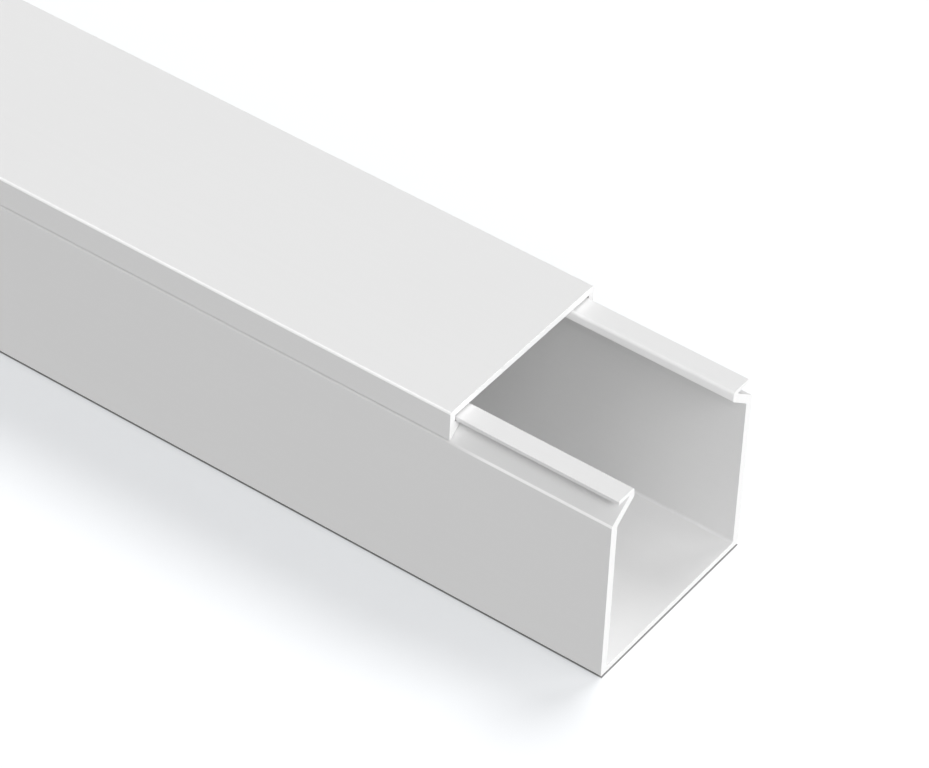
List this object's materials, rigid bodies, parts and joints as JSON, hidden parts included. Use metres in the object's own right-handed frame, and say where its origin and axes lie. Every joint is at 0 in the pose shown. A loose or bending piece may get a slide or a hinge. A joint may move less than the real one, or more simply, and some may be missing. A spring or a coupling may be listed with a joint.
{
  "type": "cable trunking",
  "caption": "Square white PVC cable trunking: an open extruded channel with inward snap rails and a flush slide-on lid, lid slid back to show the duct.",
  "frame": {"origin": "centre of the base's underside, on the surface that it is fixed to", "axes": "+X along the length towards the end where the lid is slid back, +Z from the underside up to the lid, +Y across the duct"},
  "size_m": [1.048, 0.06, 0.06],
  "materials": {
    "base_pvc": "satin",
    "lid_pvc": "satin"
  },
  "bodies": {
    "base": {"base": "base_pvc"},
    "lid": {"lid": "lid_pvc"}
  },
  "joints": [
    {"name": "lid_slide", "type": "slide", "parent": "base", "child": "lid", "axis": [1, 0, 0], "range_m": [-0.902, 0.048]}
  ]
}
